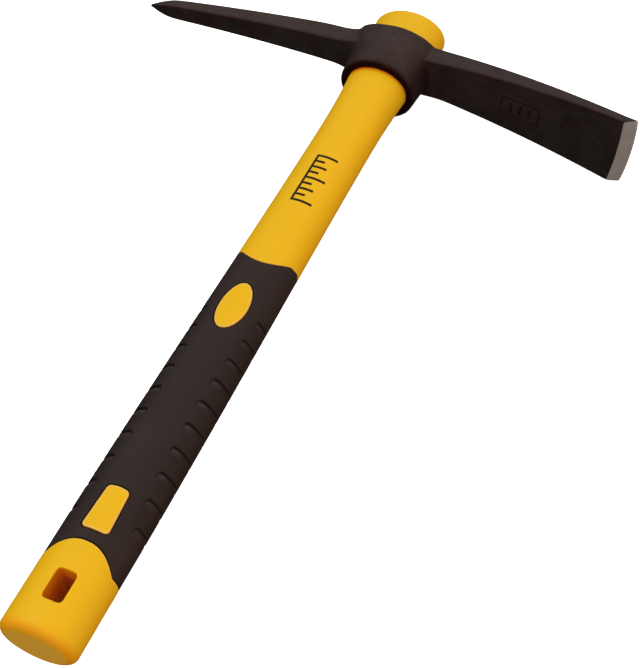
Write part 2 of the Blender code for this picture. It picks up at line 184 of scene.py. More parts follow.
# %% [markdown]
# ## Edges of the grip
# The rubber starts in an arch round the butt and ends in a shallow dip on the
# broad faces. Jacket and grip share both curves, so each is one function of x.

# %% Arch and dip
GRIP_LOW, ARCH_HEIGHT, ARCH_HALF, ARCH_POWER = 29.4, 6.8, 13.0, 2.4
GRIP_HIGH, DIP_DEPTH, DIP_HALF = 187.4, 5.9, 11.7
SIDE_RISE, SIDE_RUN = 1.1, 2.6


def arch_edge(x):
    """The grip's lower edge: a bump of 1 - |x|^2.4, flat beyond its foot."""
    return GRIP_LOW + ARCH_HEIGHT * np.clip(1 - np.abs(x / ARCH_HALF) ** ARCH_POWER, 0, 1)


def dip_edge(x):
    """The grip's upper edge: a parabola on the broad faces, then a slow rise."""
    dip = DIP_DEPTH * np.clip(1 - (x / DIP_HALF) ** 2, 0, 1)
    return GRIP_HIGH - dip + SIDE_RISE * climb(np.abs(x), DIP_HALF, DIP_HALF + SIDE_RUN) ** 2


print("arch from", GRIP_LOW, "to", round(float(arch_edge(0.0)), 1), "mm")

# %% [markdown]
# ## Materials: shader maths as Python
# A small class wraps a socket, so that masks and mixes read like formulas. Any
# node other than Math comes from one method that sets its settings first and
# then its sockets. Patterns read Object coordinates, which are the shared frame
# in metres, because every piece sits at the origin.

# %% The wire class
class Wire:
    """A socket whose value can be used in Python sums."""

    def __init__(self, tree, socket):
        self.tree = tree
        self.socket = socket

    def node(self, kind, inputs=None, output=0, stops=None, **settings):
        """Any node: its settings, then its sockets' values or links."""
        made = self.tree.nodes.new(kind)
        for name, value in settings.items():
            setattr(made, name, value)
        if stops:
            while len(made.color_ramp.elements) < len(stops):
                made.color_ramp.elements.new(0.5)
            for element, (place, colour) in zip(made.color_ramp.elements, stops):
                element.position = place
                element.color = (*colour, 1.0)
        for name, value in (inputs or {}).items():
            if isinstance(value, Wire):
                self.tree.links.new(value.socket, made.inputs[name])
            else:
                made.inputs[name].default_value = value
        return Wire(self.tree, made.outputs[output])

    def math(self, operation, first, second):
        """A Math node on two wires, or on a wire and a number."""
        return self.node("ShaderNodeMath", {0: first, 1: second}, operation=operation)

    def __add__(self, other):
        return self.math("ADD", self, other)

    def __sub__(self, other):
        return self.math("SUBTRACT", self, other)

    def __rsub__(self, other):
        return self.math("SUBTRACT", other, self)

    def __mul__(self, other):
        return self.math("MULTIPLY", self, other)

    __radd__ = __add__
    __rmul__ = __mul__

    def noise(self, scale, detail=2.0, roughness=0.5):
        """Noise on these coordinates, with features of about 1 / scale metres."""
        sockets = {"Vector": self, "Scale": scale, "Detail": detail, "Roughness": roughness}
        return self.node("ShaderNodeTexNoise", sockets)

    def stretched(self, scale):
        """These coordinates, scaled along each axis."""
        return self.node("ShaderNodeMapping", {"Vector": self, "Scale": scale})

    def mix(self, first, second):
        """A colour between two, each fixed or a wire's, by this value."""
        first, second = (c if isinstance(c, Wire) else (*c, 1.0) for c in (first, second))
        sockets = {0: self, 6: first, 7: second}
        return self.node("ShaderNodeMix", sockets, output=2, data_type="RGBA")

    def attribute(self, label):
        """A number that the piece carries at each point."""
        return self.node("ShaderNodeAttribute", output="Fac", attribute_name=label)

    def bump(self, strength, height):
        """A normal from this value as a height in metres."""
        return self.node(
            "ShaderNodeBump", {"Height": self, "Strength": strength, "Distance": height}
        )


def new_finish(name, **constants):
    """A material with its constants set, its shader and its Object coordinates."""
    material = bpy.data.materials.new(name)
    material.use_nodes = True
    tree = material.node_tree
    shader = tree.nodes["Principled BSDF"]
    for socket, value in constants.items():
        shader.inputs[socket.replace("_", " ")].default_value = value
    place = Wire(tree, tree.nodes.new("ShaderNodeTexCoord").outputs["Object"])
    print("finish:", name)
    return material, shader, place


def feed(shader, **wires):
    """Link values that change over the surface to the shader's sockets."""
    for name, wire in wires.items():
        wire.tree.links.new(wire.socket, shader.inputs[name.replace("_", " ")])


# %% [markdown]
# ## Powder coat, ground steel, plastic, rubber, rod and ink
# Powder coat has a fine orange peel over the slow unevenness of a forging. The
# bevel is ground bare, with scratches that run down it. The plastic is satin and
# nearly plain: a faint moulding texture is all that it shows. The rubber is
# warmer and duller than the coat. Where shade or light is painted, such as the
# dark foot of a groove, a dark gap between parts or a pale highlight on an edge,
# the piece carries a number at each point, and the material mixes towards a
# darker or paler colour by it.

# %% Black powder coat
# The near-black colour of the coat's painted shade.
COAT_SHADE_BLACK = (0.001, 0.0008, 0.0007)
powder_coat, shader, place = new_finish(
    "black_powder_coat", IOR=1.5, Specular_IOR_Level=0.32, Specular_Tint=(1.0, 0.28, 0.18, 1.0)
)
peel = place.noise(900.0, detail=3.0)
forging = place.noise(170.0, detail=4.0)
height = peel * 0.6 + forging * 2.4
coat_shade = place.attribute("coat_shade")
blotches = place.noise(60.0, detail=2.0)
mottling = (peel * 0.2 + forging * 0.4 + blotches * 0.4) * 3.0 - 1.0
coat_colour = mottling.mix((0.0095, 0.0094, 0.0088), (0.0250, 0.0246, 0.0231))
# Painted shade: where its number is high the coat turns near-black and rougher, which also dulls
# the highlight there.
feed(
    shader,
    Base_Color=coat_shade.mix(coat_colour, COAT_SHADE_BLACK),
    Roughness=peel * 0.10 + coat_shade * 0.5 + 0.38,
    Normal=height.bump(0.6, 0.0004),
)

# %% Ground bare steel
bare_steel, shader, place = new_finish("ground_steel", Metallic=0.35)
scratches = place.stretched((120.0, 120.0, 3800.0)).noise(1.0, detail=3.0)
bands = place.stretched((30.0, 30.0, 420.0)).noise(1.0, detail=1.0)
feed(
    shader,
    Base_Color=(scratches * 0.6 + bands * 0.4).mix((0.31, 0.305, 0.295), (0.48, 0.475, 0.465)),
    Roughness=scratches * 0.25 + 0.38,
    Normal=scratches.bump(0.25, 0.00008),
)

# %% Yellow plastic
# The deep orange is painted shade and the pale yellow a painted highlight.
PAINTED_SHADE_YELLOW, PAINTED_HIGHLIGHT_YELLOW = (0.80, 0.155, 0.002), (0.80, 0.52, 0.16)
yellow_plastic, shader, place = new_finish("yellow_plastic", IOR=1.46, Specular_IOR_Level=0.15)
texture = place.noise(1500.0, detail=2.0)
drift = place.noise(35.0, detail=1.0)
yellow_shade, edge_highlight = place.attribute("yellow_shade"), place.attribute("edge_highlight")
body_colour = drift.mix((0.81, 0.445, 0.0045), (0.84, 0.472, 0.0065))
# The first number mixes in painted shade, the second a painted highlight.
feed(
    shader,
    Base_Color=edge_highlight.mix(yellow_shade.mix(body_colour, PAINTED_SHADE_YELLOW), PAINTED_HIGHLIGHT_YELLOW),
    Roughness=texture * 0.08 + 0.46,
    Normal=texture.bump(0.12, 0.00008),
)

# %% Black rubber
WARM_SHEEN = (1.0, 0.84, 0.78, 1.0)
# Near-black for painted shade and a paler grey for a painted highlight on the scoops' floors.
RUBBER_SHADE_BLACK, FLOOR_HIGHLIGHT_GREY = (0.005, 0.0032, 0.0026), (0.046, 0.047, 0.041)
black_rubber, shader, place = new_finish(
    "black_rubber", IOR=1.45, Specular_IOR_Level=0.2, Specular_Tint=WARM_SHEEN
)
grain = place.noise(1300.0, detail=3.0)
bloom = place.noise(60.0, detail=2.0)
groove, painted_floor_light = place.attribute("groove"), place.attribute("painted_floor_light")
skin_colour = (grain * 0.3 + bloom * 0.7).mix((0.019, 0.0128, 0.0112), (0.029, 0.0200, 0.0178))
# The groove number mixes in painted shade; the second number mixes in the painted highlight.
feed(
    shader,
    Base_Color=groove.mix(painted_floor_light.mix(skin_colour, FLOOR_HIGHLIGHT_GREY), RUBBER_SHADE_BLACK),
    Roughness=grain * 0.12 + 0.50,
    Normal=grain.bump(0.25, 0.0001),
)

# %% Fibreglass
fibreglass, shader, place = new_finish("fibreglass", IOR=1.5)
fibres = place.stretched((2600.0, 40.0, 2600.0)).noise(1.0, detail=2.0)
feed(
    shader,
    Base_Color=fibres.mix((0.56, 0.11, 0.008), (0.70, 0.17, 0.016)),
    Roughness=fibres * 0.2 + 0.4,
)

# %% Printing ink
dark_ink, shader, place = new_finish("dark_ink", IOR=1.45, Specular_IOR_Level=0.1)
feed(
    shader,
    Base_Color=place.noise(700.0).mix((0.016, 0.009, 0.004), (0.028, 0.016, 0.008)),
    Roughness=place.noise(400.0) * 0.1 + 0.5,
)

# %% [markdown]
# ## The jacket
# The jacket is a single skin. Its rows run round the oval and its columns run
# along the handle, and every row holds three facts: how far along it lies, how
# far it is set in, and how much it is scaled. The rounded butt, the recess that
# hides under the grip and the rounded top are then only lists of rows. Rows near
# the grip follow its curved edges, and the others are level.

# %% Columns of the jacket
SLOT_LOW, SLOT_HIGH, SLOT_HALF, SLOT_CORNER = 12.4, 24.3, 3.8, 1.6
SLOT_LIP = 0.45
SLOT_LEAD_ROWS, SLOT_CROSS_ROWS = 5, 8
LIP_STEPS = np.array([0.0, 0.04, 0.10, 0.19, 0.31, 0.45, 0.8, 1.4])
slot_middle = (SLOT_LOW + SLOT_HIGH) / 2

slot_axis = half_axes(slot_middle)[0]
beside = np.arccos((SLOT_HALF + LIP_STEPS) / slot_axis)
across = np.arccos(np.linspace(SLOT_HALF, 0, 5)[1:] / slot_axis)
quarter = np.concatenate([np.linspace(0, beside[-1], 19)[:-1], beside[::-1], across])
half_turn = np.concatenate([quarter, np.pi - quarter[::-1][1:]])
jacket_angles = np.concatenate([half_turn, half_turn[1:-1] + np.pi])
jacket_across = np.cos(jacket_angles)
print("columns:", len(jacket_angles))

# %% Kinds of rows
def level_rows(places, insets=0.0, scales=1.0):
    """Rows that lie level, as three arrays of rows by columns."""
    shape = (len(places), len(jacket_angles))
    return [np.broadcast_to(np.reshape(v, (-1, 1)), shape) for v in (places, insets, scales)]


def edge_rows(edge, offsets, insets):
    """Rows that follow a curved edge at given offsets along the handle."""
    line = edge(jacket_across * half_axes(edge(0.0))[0])
    shape = (len(offsets), len(jacket_angles))
    places = line + np.reshape(offsets, (-1, 1))
    return [places, np.broadcast_to(np.reshape(insets, (-1, 1)), shape), np.ones(shape)]


def between(start, end, share):
    """A value on the straight line from start to end."""
    return start + (end - start) * share


def blended_rows(lower, upper, count):
    """Rows between two given rows, spaced evenly in each column."""
    share = np.linspace(0, 1, count + 2)[1:-1, None]
    places = between(lower[0][-1], upper[0][0], share)
    return [places, np.zeros(places.shape), np.ones(places.shape)]


print("half way from 2 to 4:", between(2, 4, 0.5))

# %% Rows of the jacket
BUTT_ROUNDING, BUTT_INSET = 3.1, 3.9
EDGE_ROUNDING, EDGE_FOOT = 0.3, 0.42
RECESS = 2.3
FACE_SCALES = np.array([0.15, 0.4, 0.7, 0.94])

butt_turn = np.linspace(0, np.pi / 2, 9)
butt_face = level_rows(np.zeros(4), BUTT_INSET, FACE_SCALES)
butt_edge = level_rows(
    BUTT_ROUNDING * (1 - np.cos(butt_turn)), BUTT_INSET * (1 - np.sin(butt_turn))
)
slot_rows = level_rows(
    np.concatenate(
        [
            np.linspace(BUTT_ROUNDING + 0.8, SLOT_LOW - 1.6, SLOT_LEAD_ROWS + 1)[:-1],
            (SLOT_LOW - LIP_STEPS)[::-1],
            np.linspace(SLOT_LOW, SLOT_HIGH, SLOT_CROSS_ROWS + 1)[1:-1],
            SLOT_HIGH + LIP_STEPS,
        ]
    )
)
soft = np.array([1.2, 0.5, 0.3, 0.2, 0.12, 0.05, 0.0])
arch_end = edge_rows(arch_edge, -soft, roundover(soft, EDGE_ROUNDING))
recess_low = edge_rows(arch_edge, [0.0, 0.0, 1.0], [EDGE_FOOT, RECESS, RECESS])
recess_high = edge_rows(dip_edge, [-1.0, 0.0, 0.0], [RECESS, RECESS, EDGE_FOOT])
dip_end = edge_rows(dip_edge, soft[::-1], roundover(soft[::-1], EDGE_ROUNDING))
under_collar = [323.9, 324.6, 325.4]
shaft = level_rows(
    np.concatenate([np.linspace(196, FLARE_Y, 34), under_collar, np.linspace(327, 372, 12)])
)
top_turn = np.linspace(np.pi / 2, 0, 10)
top_edge = level_rows(
    HANDLE_LENGTH - FLARE_ROUNDING * (1 - np.cos(top_turn)),
    FLARE_ROUNDING * (1 - np.sin(top_turn)),
)
top_face = level_rows(np.full(4, HANDLE_LENGTH), FLARE_ROUNDING, FACE_SCALES[::-1])
sections = [
    butt_face,
    butt_edge,
    slot_rows,
    blended_rows(slot_rows, arch_end, 4),
    arch_end,
    recess_low,
    recess_high,
    dip_end,
    blended_rows(dip_end, shaft, 4),
    shaft,
    top_edge,
    top_face,
]
row_y, row_inset, row_scale = (np.concatenate([s[i] for s in sections]) for i in range(3))


def rows_of(*wanted):
    """Which rows belong to any of some sections."""
    return np.concatenate([np.full(len(s[0]), any(s is w for w in wanted)) for s in sections])


in_recess, at_edge = rows_of(recess_low, recess_high), rows_of(arch_end, dip_end)
print("rows:", len(row_y))

# %% [markdown]
# ## The hang slot
# A slot cut with a Boolean leaves a hard rim. Here the grid itself bends round
# the slot instead. Squares of grid lines round the hole are pushed onto rounded
# rectangles, each a fixed distance from the slot's outline, and the surface sinks
# by a quarter-round over the last of that distance. A tube of further rows joins
# the two rims through the handle.

# %% Bend the grid round the slot
FLAT_REACH, BEND_FADE = 0.62, (1.0, 4.0)
first_row = len(butt_face[0]) + len(butt_edge[0]) + SLOT_LEAD_ROWS + len(LIP_STEPS) - 1
last_row = first_row + SLOT_CROSS_ROWS
jacket = on_oval(jacket_angles, row_y, row_inset, row_scale)


def wrap_slot(x, y):
    """Push grid points onto curves at an even distance from the slot's outline.

    A point outside the slot's rectangle by s lies on a larger rectangle. Its
    corner region is bent onto an arc of radius corner + s about the same centre.
    """
    half_y = (SLOT_HIGH - SLOT_LOW) / 2
    dx, dy = np.abs(x), np.abs(y - slot_middle)
    reach = np.maximum(dx - SLOT_HALF, dy - half_y)
    to_x = dx - (SLOT_HALF - SLOT_CORNER)
    to_y = dy - (half_y - SLOT_CORNER)
    in_corner = (to_x > 0) & (to_y > 0) & (reach > -0.01)
    stretch = np.where(in_corner, (SLOT_CORNER + reach) / np.maximum(np.hypot(to_x, to_y), 1e-6), 1)
    keep = ease(reach, *BEND_FADE)
    stretch = stretch * (1 - keep) + keep
    far_x = SLOT_HALF - SLOT_CORNER + to_x * stretch
    far_y = half_y - SLOT_CORNER + to_y * stretch
    new_x = np.where(in_corner, np.sign(x) * far_x, x)
    new_y = np.where(in_corner, slot_middle + np.sign(y - slot_middle) * far_y, y)
    return new_x, new_y, reach


near = slice(first_row - len(LIP_STEPS) + 1 - 4, last_row + len(LIP_STEPS) + 3)
x, y, z = (jacket[near, :, i] for i in range(3))
on_top = np.abs(jacket_across) < FLAT_REACH
bent_x, bent_y, reach = wrap_slot(x, y)
bent = on_face(bent_x, bent_y, roundover(reach, SLOT_LIP), 1)
side = np.sign(np.sin(jacket_angles))
bent[..., 2] *= side
jacket[near] = np.where(on_top[None, :, None], bent, jacket[near])
print("rows beside the slot:", first_row, "to", last_row)

# %% Holes and the tube between them
columns = len(jacket_angles)
rows = len(jacket)
faces = grid_faces(rows, columns).reshape(rows - 1, columns, 4)
inner = np.abs(jacket_across) < (SLOT_HALF - 0.2) / slot_axis
top_columns = np.flatnonzero(inner & (side > 0))
bottom_columns = np.flatnonzero(inner & (side < 0))
kept = np.ones((rows - 1, columns), bool)
top_span = np.arange(top_columns[0] - 1, top_columns[-1] + 2)
bottom_span = np.arange(bottom_columns[0] - 1, bottom_columns[-1] + 2)
for span in (top_span, bottom_span):
    kept[first_row:last_row, span[0] : span[-1]] = False


def rim(span):
    """Indices of the grid points round one hole, in order."""
    grid = np.arange(rows * columns).reshape(rows, columns)
    return border(grid[first_row : last_row + 1, span])


top_rim = rim(top_span)
bottom_rim = rim(bottom_span[::-1])
points = jacket.reshape(-1, 3)
points[bottom_rim, :2] = points[top_rim, :2]
share = ease(np.linspace(0, 1, 14))[1:-1, None, None]
tube = between(points[top_rim], points[bottom_rim], share)
tube_index = len(points) + np.arange(tube.shape[0] * tube.shape[1]).reshape(tube.shape[:2])
tube_index = np.vstack([top_rim, tube_index, bottom_rim])
tube_faces = tube_index.ravel()[grid_faces(*tube_index.shape)]
end_faces = [list(range(columns)), list(range((rows - 1) * columns, rows * columns))]
jacket_piece = make_piece(
    "moulded_jacket",
    np.concatenate([points, tube.reshape(-1, 3)]),
    [*faces[kept], *tube_faces, *end_faces],
    yellow_plastic,
)
print("jacket:", len(jacket_piece.data.polygons), "faces")

# %% Painted shade and highlights of the jacket
EDGE_HIGHLIGHT, BUTT_SHEEN, SLOT_SHADE = 0.6, 0.25, 0.65
COLLAR_SHADE, COLLAR_COVER = (323.4, 325.4), 352.0
BAND_PLACES, BAND_SHADE = [0.0, 0.3, 1.6, 4.2], [0.05, 0.40, 0.36, 0.0]
# Painted shade on the recess rows, at the collar's foot, in a band round the butt's rounded edge
# and in the slot's tube.
row_place = row_y[:, 0]
near_collar = climb(row_place, *COLLAR_SHADE) * (row_place < COLLAR_COVER)
butt_band = np.interp(row_place, BAND_PLACES, BAND_SHADE)
row_shade = np.maximum(np.maximum(in_recess, near_collar), butt_band)
# Painted highlight on the rounded rows at the grip's edges, and a painted sheen on the butt's end
# face.
row_highlight = EDGE_HIGHLIGHT * (at_edge & (row_inset.max(axis=1) > 0)) + BUTT_SHEEN * (row_place <= 0)
for label, by_row, in_tube in (("yellow_shade", row_shade, SLOT_SHADE), ("edge_highlight", row_highlight, 0.0)):
    in_tube = np.full(tube[..., 0].size, in_tube)
    tag_points(jacket_piece, label, np.concatenate([np.repeat(by_row, columns), in_tube]))
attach(jacket_piece, "root")
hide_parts("handle_jacket")
print("hollow rows:", int((row_shade > 0).sum()), "worn rows:", int((row_highlight > 0).sum()))

# %% [markdown]
# ## Islands in the grip
# An oval and a tapered plate of the yellow moulding rise through windows in the
# rubber. Each is a patch whose rings are offsets of one outline: scaled copies
# inside, then a quarter-round and a skirt that sinks into the handle. The same
# outline also makes the rubber's lip round the window.

# %% Outline of the oval
OVAL_Y, OVAL_HALF_X, OVAL_HALF_Y = 154.6, 6.0, 12.9
OUTLINE_STEPS = 144

turn = np.linspace(0, 2 * np.pi, OUTLINE_STEPS, endpoint=False)


def oval_outline(grow):
    """An ellipse about the oval island, grown by a distance."""
    x = (OVAL_HALF_X + grow) * np.cos(turn)
    return x, OVAL_Y + (OVAL_HALF_Y + grow) * np.sin(turn)


print("outline points:", OUTLINE_STEPS)

# %% Outline of the tapered plate
PLATE_LOW, PLATE_HIGH, PLATE_WIDE, PLATE_NARROW = 41.1, 59.1, 5.3, 4.3
PLATE_CORNER, PLATE_CROWN = 1.7, 0.6

plate_slope = math.atan2(PLATE_WIDE - PLATE_NARROW, PLATE_HIGH - PLATE_LOW)
plate_low_y, plate_high_y = PLATE_LOW + PLATE_CORNER, PLATE_HIGH - PLATE_CORNER
plate_low_x, plate_high_x = (
    PLATE_WIDE + ((PLATE_LOW - y) * math.sin(plate_slope) - PLATE_CORNER) / math.cos(plate_slope)
    for y in (plate_low_y, plate_high_y)
)
CORNER_STEPS, LOW_STEPS, SIDE_STEPS, HIGH_STEPS = 22, 14, 16, 10
one_side = [CORNER_STEPS, SIDE_STEPS, CORNER_STEPS]
plate_legs = np.cumsum([0, *one_side, HIGH_STEPS, *one_side, LOW_STEPS])
one_half = [
    (plate_low_x, plate_low_y, -math.pi / 2),
    (plate_low_x, plate_low_y, plate_slope),
    (plate_high_x, plate_high_y, plate_slope),
    (plate_high_x, plate_high_y, math.pi / 2),
]
other_half = [(-x, y, math.pi - facing) for x, y, facing in one_half[::-1]]
plate_keys = np.array([*one_half, *other_half, (plate_low_x, plate_low_y, 3 * math.pi / 2)])


def plate_outline(grow):
    """A disc carried round a path with four corners, and a crown on the far end.

    At a corner only the disc's direction turns, and along a side only its centre
    moves, so a bigger disc gives the outline grown by an even distance.
    """
    step = np.arange(OUTLINE_STEPS)
    x, y, facing = (np.interp(step, plate_legs, plate_keys[:, i]) for i in range(3))
    crown = PLATE_CROWN * np.clip(np.sin(facing), 0, 1) * (1 - (x / PLATE_NARROW) ** 2)
    reach = PLATE_CORNER + grow
    return x + reach * np.cos(facing), y + reach * np.sin(facing) + crown


print("the plate's sides lean by", round(math.degrees(plate_slope), 1), "degrees")


# %% Patches on the broad faces
def patches(scales, grows, insets, capped):
    """Points and faces of both outlines' patches on both broad faces.

    A patch's first rings are scaled copies of an outline about its centre, and
    the others are grown ones. A cap closes the innermost ring.
    """
    points, faces = [], []
    centres = (OVAL_Y, (PLATE_LOW + PLATE_HIGH) / 2)
    for outline, centre_y in zip((oval_outline, plate_outline), centres):
        x, y = outline(grows[0])
        rings = [(x * scale, between(centre_y, y, scale)) for scale in scales]
        rings += [outline(grow) for grow in grows[1:]]
        for face in (1, -1):
            first = sum(len(p) for p in points)
            made = [on_face(*ring, inset, face) for ring, inset in zip(rings, insets)]
            faces += grid_faces(len(made), OUTLINE_STEPS, first=first)[:, ::face].tolist()
            if capped:
                faces.append(list(range(first, first + OUTLINE_STEPS))[::-face])
            points.append(np.concatenate(made))
    return np.concatenate(points), faces


# %% Raised islands
ISLAND_ROUNDING = 0.35
island_scales = np.array([0.02, 0.25, 0.5, 0.72, 0.88, 0.96])
island_grows = np.array([-0.6, -0.35, -0.22, -0.12, -0.05, 0.0, 0.0, 0.0])
island_depths = np.concatenate(
    [np.zeros(len(island_scales)), roundover(-island_grows[1:-2], ISLAND_ROUNDING), [0.45, 1.6]]
)
# Painted shade on the two sunken skirt rings, and a painted highlight on the rounded rings of the
# edge.
ring_shade = np.concatenate([np.zeros(len(island_depths) - 2), [1.0, 1.0]])
ring_highlight = np.arange(len(island_depths)) >= len(island_scales)
ring_highlight = EDGE_HIGHLIGHT * ring_highlight * (ring_shade == 0)
island_form = patches(island_scales, island_grows, island_depths, capped=True)
islands = make_piece("raised_islands", *island_form, yellow_plastic, outwards=False)
for label, rings in (("yellow_shade", ring_shade), ("edge_highlight", ring_highlight)):
    tag_points(islands, label, np.tile(np.repeat(rings, OUTLINE_STEPS), 4))
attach(islands, "root")
print("islands:", len(islands.data.polygons), "faces")

# %% [markdown]
# ## The rubber grip
# The sleeve is a grid with a depth at every point. Ten scooped grooves lie along
# each side of both broad faces: a steep wall on the head's side, a rounded inner
# end, and a floor that ramps up towards the butt. A depth map can say all of that
# with a distance to the groove's outline, as long as rows stand close together
# at the walls, so the rows repeat the groove's own spacing.

# %% Grid of the grip
SCOOP_COUNT, SCOOP_FIRST, SCOOP_PITCH = 10, 49.9, 11.52
GRIP_INSET, GRIP_GAP = 0.1, 0.35
GRIP_COLUMNS = 232

fine = np.linspace(0, 2 * np.pi, 4001)
belly_wide, belly_thick = half_axes(100.0)
fine_x, fine_z = belly_wide * np.cos(fine), belly_thick * np.sin(fine)
run = np.concatenate([[0], np.cumsum(np.hypot(np.diff(fine_x), np.diff(fine_z)))])
grip_angles = np.interp(np.linspace(0, run[-1], GRIP_COLUMNS + 1)[:-1], run, fine)

pitch_steps = np.array(
    [0.0, 0.07, 0.15, 0.26, 0.42, 0.65, 0.95, 1.35, 1.85, 2.45, 3.1, 3.8, 4.5, 5.2, 5.9, 6.6, 7.4]
    + [8.3, 9.2, 10.1, 10.8, 11.3]
)
scoop_rows = (
    SCOOP_FIRST + SCOOP_PITCH * np.arange(SCOOP_COUNT)[:, None] + 0.05 - pitch_steps[None, :]
)
level = np.sort(np.concatenate([scoop_rows.ravel(), np.linspace(154.6, 176.0, 32)]))
level = level[level > 42.5]
edge_steps = np.array([0.0, 0.03, 0.08, 0.16, 0.28, 0.45, 0.7, 1.1, 1.7, 2.5])
low_edge = arch_edge(belly_wide * np.cos(grip_angles)) + GRIP_GAP
high_edge = dip_edge(belly_wide * np.cos(grip_angles)) - GRIP_GAP


def fan(edge, steps, target, count):
    """Rows along an edge, then rows that even out to a level line."""
    along = edge + steps[:, None]
    share = np.linspace(0, 1, count + 2)[1:-1, None]
    return np.concatenate([along, between(along[-1], target, share)])


grip_low = fan(low_edge, edge_steps, level[0], 8)
grip_high = fan(high_edge, -edge_steps, level[-1], 8)[::-1]
grip_level = np.broadcast_to(level[:, None], (len(level), GRIP_COLUMNS))
grip_y = np.concatenate([grip_low, grip_level, grip_high])
print("grip grid:", grip_y.shape)

# %% Depth of the grooves
SCOOP_DEPTH, SCOOP_RUN, SCOOP_WALL, SCOOP_NOSE = 1.2, 3.6, 0.42, 2.2
SCOOP_INNER_MIDDLE, SCOOP_INNER_END = 7.5, 11.0
SCOOP_SPAN, SCOOP_FADE = 11.0, math.radians(9)
SIDE_SHORTER, SIDE_SHALLOWER, END_SHALLOWER = 0.55, 0.5, 0.3
WALL_SHADE = (1.17, 0.27)
FLOOR_LIGHT_INSIDE, FLOOR_LIGHT_ALONG, FLOOR_LIGHT_AROUND = (0.7, 1.3), (3.9, 1.3), (7.2, 2.7)


def groove_form(angle, y):
    """Depth of the nearest groove, the painted shade by its wall, and the painted highlight on its
    floor.

    Along is the distance below the groove's steep edge and around the distance
    from its inner end, measured on the skin. The outline is a corner of radius
    nose, and the wall rises over a short distance from it. The floor ramps up
    again over the run, which gets shorter towards the handle's side.
    """
    number = np.clip(np.ceil((y - SCOOP_FIRST) / SCOOP_PITCH), 0, SCOOP_COUNT - 1)
    edge = SCOOP_FIRST + SCOOP_PITCH * number
    middle = (SCOOP_COUNT - 1) / 2
    off = np.abs(number - middle) / middle
    inner = np.arccos(between(SCOOP_INNER_MIDDLE, SCOOP_INNER_END, off**2) / belly_wide)
    fold = np.arccos(np.abs(np.cos(angle)))
    around = np.interp(inner, fine, run) - np.interp(fold, fine, run)
    along = edge - y
    nose_x, nose_y = SCOOP_NOSE - around, SCOOP_NOSE - along
    corner = (nose_x > 0) & (nose_y > 0)
    inside = np.where(corner, SCOOP_NOSE - np.hypot(nose_x, nose_y), np.minimum(around, along))
    outwards = climb(around, 0, SCOOP_SPAN)
    length = SCOOP_RUN * (1 - SIDE_SHORTER * outwards)
    ramp = climb(along, length, 0) ** 1.2
    fade = ease(fold, 0, SCOOP_FADE)
    depth = SCOOP_DEPTH * ease(inside, 0, SCOOP_WALL) * ramp * fade
    depth *= (1 - SIDE_SHALLOWER * outwards) * (1 - END_SHALLOWER * off**2)
    # Painted shade by the steep wall, and a painted highlight on the floor.
    near_wall = (inside > -0.1) * climb(inside, *WALL_SHADE) * ramp * fade
    floor = ease(inside, *FLOOR_LIGHT_INSIDE) * climb(along, *FLOOR_LIGHT_ALONG)
    floor *= climb(around, *FLOOR_LIGHT_AROUND) * (1 - 0.5 * off**2)
    return depth * (along > 0), near_wall, floor


carved, near_wall, floor_highlight = groove_form(grip_angles[None, :], grip_y)
depth = GRIP_INSET + carved
LIP_ROUNDING, LIP_SHADE = 0.45, 0.6
lip = LIP_ROUNDING * (1 - np.sqrt(np.clip(1 - (1 - edge_steps / LIP_ROUNDING) ** 2, 0, 1)))
lip *= edge_steps < LIP_ROUNDING
depth[: len(lip)] += lip[:, None]
depth[-len(lip) :] += lip[::-1, None]
print("deepest groove:", round(float(depth.max()), 2), "mm")

# %% Windows in the grip
WINDOW_SINK, WINDOW_WALL, FACING_SINE = 1.1, (0.6, 1.3), 0.4


def window_distance(x, y):
    """Distance outside the nearest island's outline, negative inside."""
    oval = np.hypot(x / OVAL_HALF_X, (y - OVAL_Y) / OVAL_HALF_Y)
    slope = np.hypot(x / OVAL_HALF_X**2, (y - OVAL_Y) / OVAL_HALF_Y**2) / np.maximum(oval, 1e-6)
    to_oval = (oval - 1) / np.maximum(slope, 1e-6)
    share = (y - PLATE_LOW) / (PLATE_HIGH - PLATE_LOW)
    half_x = between(PLATE_WIDE, PLATE_NARROW, share)
    out_x = np.abs(x) - (half_x - PLATE_CORNER)
    half_y = (PLATE_HIGH - PLATE_LOW) / 2
    out_y = np.abs(y - (PLATE_LOW + PLATE_HIGH) / 2) - (half_y - PLATE_CORNER)
    to_plate = np.hypot(np.maximum(out_x, 0), np.maximum(out_y, 0))
    to_plate += np.minimum(np.maximum(out_x, out_y), 0) - PLATE_CORNER
    return np.minimum(to_oval, to_plate)


skin = on_oval(grip_angles[None, :], grip_y, depth)
gap = window_distance(skin[..., 0], skin[..., 1])
facing = np.abs(np.sin(grip_angles))[None, :] > FACING_SINE
depth += np.where(facing, WINDOW_SINK * (1 - ease(gap, *WINDOW_WALL)), 0)
skin = on_oval(grip_angles[None, :], grip_y, depth)
under = on_oval(grip_angles[None, :], grip_y[[-1, 0]], RECESS - 0.1)
shell = np.concatenate([skin, under])
closed = grid_faces(len(shell) + 1, GRIP_COLUMNS) % (len(shell) * GRIP_COLUMNS)
grip = make_piece("rubber_sleeve", shell.reshape(-1, 3), closed, black_rubber)
print("grip:", len(grip.data.polygons), "faces")

# %% Painted shade and highlight of the grip
FLANK_SHADE, FLANK_SINES = 0.3, (0.93, 0.58)
FLANK_LOW, FLANK_HIGH = (44, 52), (160, 148)
edge_shade = np.zeros((len(grip_y), 1))
edge_shade[: len(edge_steps), 0] = 1 - ease(edge_steps, 0, LIP_SHADE)
edge_shade = np.maximum(edge_shade, edge_shade[::-1])
flank = FLANK_SHADE * ease(np.abs(np.sin(grip_angles)), *FLANK_SINES)[None, :]
flank_shade = flank * ease(grip_y, *FLANK_LOW) * ease(grip_y, *FLANK_HIGH)
